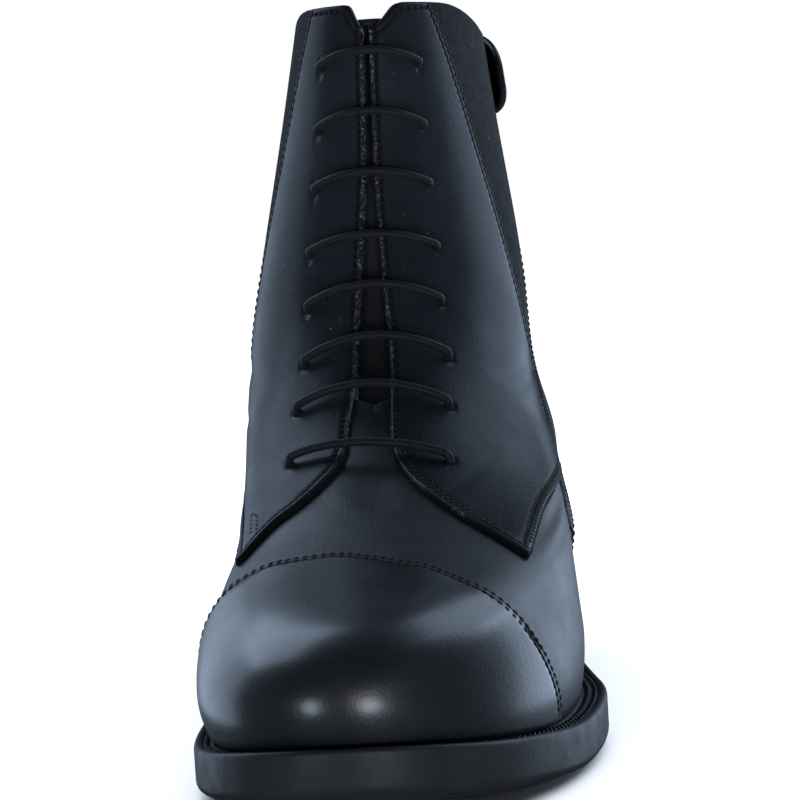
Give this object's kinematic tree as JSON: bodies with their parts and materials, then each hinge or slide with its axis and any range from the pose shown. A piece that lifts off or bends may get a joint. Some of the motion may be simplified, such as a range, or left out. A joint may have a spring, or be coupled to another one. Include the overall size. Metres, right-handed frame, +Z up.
{
  "type": "jodhpur boot",
  "caption": "Black leather ankle riding boot for the left foot with toe cap, lace bars over a front slit, elastic side gores, welted sole and low heel.",
  "frame": {"origin": "on the floor below the middle of the boot's box", "axes": "+Z up, -Y towards the toe, +X towards the lateral side"},
  "size_m": [0.0978, 0.274, 0.185],
  "materials": {
    "vamp_leather": "satin",
    "cap_leather": "polished",
    "quarter_leather": "satin",
    "elastic": "matt weave",
    "tongue_leather": "matt",
    "insole_board": "matt",
    "welt_rubber": "matt",
    "sole_rubber": "satin",
    "heel_rubber": "satin",
    "lace_cord": "matt"
  },
  "bodies": {
    "root": {"upper": "vamp_leather", "toe_cap": "cap_leather", "front_quarter_lateral": "quarter_leather", "front_quarter_medial": "quarter_leather", "back_quarter": "quarter_leather", "back_tab": "quarter_leather", "gusset_lateral": "elastic", "gusset_medial": "elastic", "tongue": "tongue_leather", "insole": "insole_board", "welt": "welt_rubber", "outsole": "sole_rubber", "heel": "heel_rubber", "heel_lift": "sole_rubber", "lace_bar_1": "lace_cord", "lace_bar_2": "lace_cord", "lace_bar_3": "lace_cord", "lace_bar_4": "lace_cord", "lace_bar_5": "lace_cord", "lace_bar_6": "lace_cord", "lace_bar_7": "lace_cord", "lace_bar_8": "lace_cord"}
  },
  "joints": []
}
